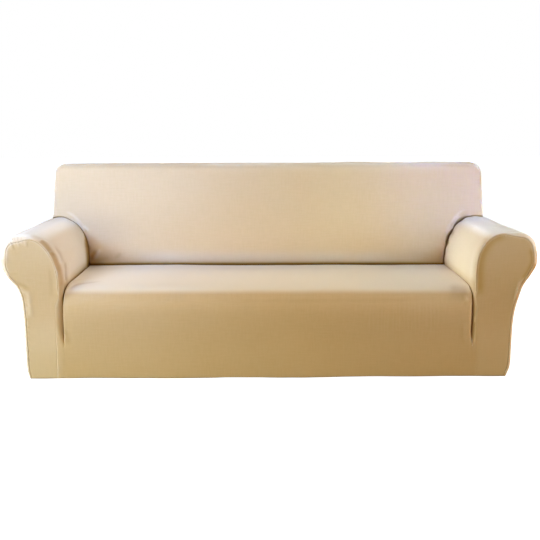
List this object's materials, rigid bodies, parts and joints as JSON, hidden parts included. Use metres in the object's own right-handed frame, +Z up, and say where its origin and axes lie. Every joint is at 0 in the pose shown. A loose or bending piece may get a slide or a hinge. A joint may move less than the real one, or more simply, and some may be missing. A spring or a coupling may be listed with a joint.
{
  "type": "fitted sofa slipcover",
  "caption": "Hollow fitted slipcover of plain stretch cloth for a sofa with rolled arms, tucked in round the seat and hemmed at the floor edge.",
  "frame": {"origin": "under the middle of the cover's top, on the inner face of the cloth where the sofa's back holds it up", "axes": "+X to the right as seen from the front of the sofa, +Y towards its back, +Z up"},
  "size_m": [2.1885, 0.8787, 0.8474],
  "materials": {
    "stretch_cloth": "soft matt knit with a slight sheen, sand colour"
  },
  "bodies": {
    "root": {"seat_and_front_drop": "stretch_cloth", "inside_back": "stretch_cloth", "outside_back": "stretch_cloth", "arm_wrap_left": "stretch_cloth", "arm_wrap_right": "stretch_cloth", "arm_facing_left": "stretch_cloth", "arm_facing_right": "stretch_cloth"}
  },
  "joints": []
}
